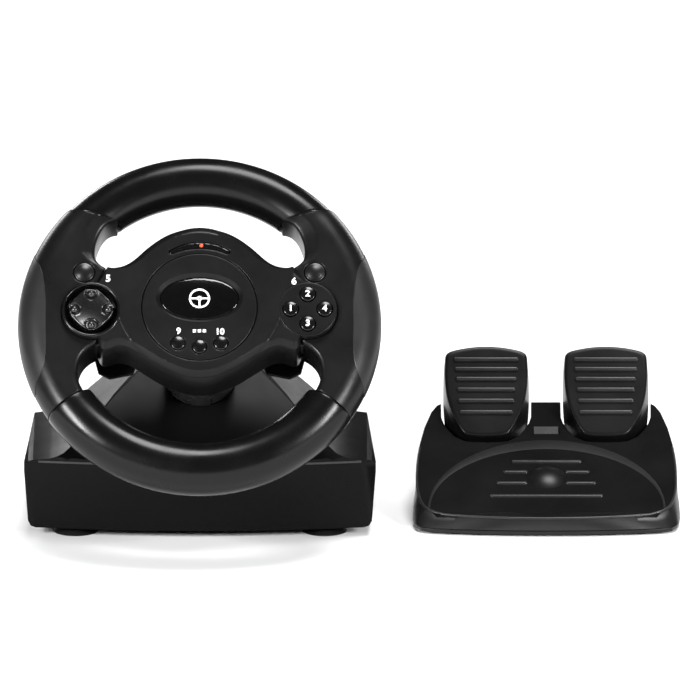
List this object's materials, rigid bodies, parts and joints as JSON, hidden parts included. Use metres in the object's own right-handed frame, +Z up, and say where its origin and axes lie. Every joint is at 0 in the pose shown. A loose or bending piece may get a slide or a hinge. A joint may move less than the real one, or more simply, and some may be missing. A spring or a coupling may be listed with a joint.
{
  "type": "racing wheel",
  "caption": "Racing wheel controller: a tilted rim with spokes, hub controls and shift paddles on a table base with suction feet, plus a matching floor pedal unit.",
  "frame": {"origin": "floor level, under the middle of the whole set's bounding box", "axes": "+X to the driver's right, along the set's longest side; -Y towards the driver; +Z up"},
  "size_m": [0.457, 0.251, 0.255],
  "materials": {
    "shell_dark": "fine satin",
    "shell_grey": "satin, a little lighter",
    "grip_rubber": "smooth satin rubber",
    "base_texture": "fine spark texture",
    "gloss_black": "gloss",
    "cap_black": "gloss, domed, white figures",
    "core_plastic": "raw moulding",
    "steel": "machined",
    "spring_steel": "drawn wire",
    "bronze": "sintered",
    "nylon": "moulded",
    "board": "circuit board",
    "cup_rubber": "soft, slightly glossy",
    "lamp_red": "lit lamp",
    "smoke": "smoked window",
    "label_grey": "satin grey",
    "pedal_black": "fine satin"
  },
  "bodies": {
    "base": {"base_top_shell": "base_texture", "base_bottom_shell": "base_texture", "column_shroud": "shell_dark", "column_tube": "shell_dark", "front_bearing": "bronze", "rear_bearing": "bronze", "bearing_frame": "core_plastic", "centering_spring": "spring_steel", "steering_sensor": "gloss_black", "main_board": "board", "suction_cups": "cup_rubber", "base_screws": "steel", "pedal_socket": "gloss_black", "cable_glands": "cup_rubber", "pedal_base_top": "pedal_black", "pedal_base_bottom": "pedal_black", "heel_dome": "shell_dark", "pedal_label_plate": "label_grey", "pedal_feet": "cup_rubber", "pedal_axles": "steel", "pedal_springs": "spring_steel", "pedal_sensors": "gloss_black"},
    "wheel": {"rim_core": "core_plastic", "upper_grip": "grip_rubber", "lower_grip": "grip_rubber", "right_side_insert": "shell_grey", "left_side_insert": "shell_grey", "right_spoke_front": "shell_dark", "right_spoke_back": "shell_dark", "left_spoke_front": "shell_dark", "left_spoke_back": "shell_dark", "hub_front_cover": "shell_dark", "hub_back_cover": "shell_dark", "hub_screws": "steel", "paddle_pins": "steel", "hub_panel": "shell_dark", "badge_lens": "gloss_black", "led_window": "smoke", "status_led": "lamp_red", "button_pod": "gloss_black", "button_boards": "board", "dpad_dish": "gloss_black", "steering_shaft": "steel", "shaft_gear": "nylon"},
    "sensor_gear_body": {"sensor_gear": "nylon"},
    "left_paddle_body": {"left_paddle": "shell_dark"},
    "right_paddle_body": {"right_paddle": "shell_dark"},
    "dpad_pivot_body": {"dpad_pivot": "nylon"},
    "dpad_body": {"dpad_rocker": "cap_black"},
    "brake_body": {"brake_pedal": "pedal_black"},
    "gas_body": {"gas_pedal": "pedal_black"},
    "button_1_body": {"button_1": "cap_black"},
    "button_2_body": {"button_2": "cap_black"},
    "button_3_body": {"button_3": "cap_black"},
    "button_4_body": {"button_4": "cap_black"},
    "button_5_body": {"button_5": "cap_black"},
    "button_6_body": {"button_6": "cap_black"},
    "button_9_body": {"button_9": "cap_black"},
    "button_mode_body": {"button_mode": "cap_black"},
    "button_10_body": {"button_10": "cap_black"}
  },
  "joints": [
    {"name": "steering", "type": "hinge", "parent": "base", "child": "wheel", "pos_m": [-0.1031, -0.042, 0.1531], "axis": [0, -0.7934, 0.6088], "range_deg": [-90, 90], "stiffness_Nm_per_rad": 0.35},
    {"name": "sensor_spin", "type": "hinge", "parent": "base", "child": "sensor_gear_body", "pos_m": [-0.1031, 0.03893, 0.0557], "axis": [0, -0.7934, 0.6088], "range_deg": [-226, 226]},
    {"name": "left_shift", "type": "hinge", "parent": "wheel", "child": "left_paddle_body", "pos_m": [-0.1421, -0.02137, 0.13727], "axis": [0, 0.6088, 0.7934], "range_deg": [0, 7], "stiffness_Nm_per_rad": 0.12, "springref_deg": -5.73},
    {"name": "right_shift", "type": "hinge", "parent": "wheel", "child": "right_paddle_body", "pos_m": [-0.0641, -0.02137, 0.13727], "axis": [0, -0.6088, -0.7934], "range_deg": [0, 7], "stiffness_Nm_per_rad": 0.12, "springref_deg": -5.73},
    {"name": "dpad_sideways", "type": "hinge", "parent": "wheel", "child": "dpad_pivot_body", "pos_m": [-0.1776, -0.04961, 0.16322], "axis": [0, 0.6088, 0.7934], "range_deg": [-4.5, 4.5], "stiffness_Nm_per_rad": 0.06},
    {"name": "dpad_updown", "type": "hinge", "parent": "dpad_pivot_body", "child": "dpad_body", "pos_m": [-0.1776, -0.04961, 0.16322], "axis": [1, 0, 0], "range_deg": [-4.5, 4.5], "stiffness_Nm_per_rad": 0.06},
    {"name": "brake", "type": "hinge", "parent": "base", "child": "brake_body", "pos_m": [0.095, 0.078, 0.022], "axis": [-1, 0, 0], "range_deg": [0, 16], "stiffness_Nm_per_rad": 2, "springref_deg": -8.59, "deforming": ["pedal_springs"]},
    {"name": "gas", "type": "hinge", "parent": "base", "child": "gas_body", "pos_m": [0.178, 0.078, 0.022], "axis": [-1, 0, 0], "range_deg": [0, 16], "stiffness_Nm_per_rad": 1.6, "springref_deg": -8.59, "deforming": ["pedal_springs"]},
    {"name": "press_1", "type": "slide", "parent": "wheel", "child": "button_1_body", "axis": [0, -0.7934, 0.6088], "range_m": [-0.001, 0], "stiffness_N_per_m": 450, "springref_m": 0.0006},
    {"name": "press_2", "type": "slide", "parent": "wheel", "child": "button_2_body", "axis": [0, -0.7934, 0.6088], "range_m": [-0.001, 0], "stiffness_N_per_m": 450, "springref_m": 0.0006},
    {"name": "press_3", "type": "slide", "parent": "wheel", "child": "button_3_body", "axis": [0, -0.7934, 0.6088], "range_m": [-0.001, 0], "stiffness_N_per_m": 450, "springref_m": 0.0006},
    {"name": "press_4", "type": "slide", "parent": "wheel", "child": "button_4_body", "axis": [0, -0.7934, 0.6088], "range_m": [-0.001, 0], "stiffness_N_per_m": 450, "springref_m": 0.0006},
    {"name": "press_5", "type": "slide", "parent": "wheel", "child": "button_5_body", "axis": [0, -0.7934, 0.6088], "range_m": [-0.001, 0], "stiffness_N_per_m": 450, "springref_m": 0.0006},
    {"name": "press_6", "type": "slide", "parent": "wheel", "child": "button_6_body", "axis": [0, -0.7934, 0.6088], "range_m": [-0.001, 0], "stiffness_N_per_m": 450, "springref_m": 0.0006},
    {"name": "press_9", "type": "slide", "parent": "wheel", "child": "button_9_body", "axis": [0, -0.7934, 0.6088], "range_m": [-0.001, 0], "stiffness_N_per_m": 450, "springref_m": 0.0006},
    {"name": "press_mode", "type": "slide", "parent": "wheel", "child": "button_mode_body", "axis": [0, -0.7934, 0.6088], "range_m": [-0.001, 0], "stiffness_N_per_m": 450, "springref_m": 0.0006},
    {"name": "press_10", "type": "slide", "parent": "wheel", "child": "button_10_body", "axis": [0, -0.7934, 0.6088], "range_m": [-0.001, 0], "stiffness_N_per_m": 450, "springref_m": 0.0006}
  ],
  "couplings": [
    {"joint": "sensor_spin", "follows": "steering", "ratio": -2.5}
  ]
}
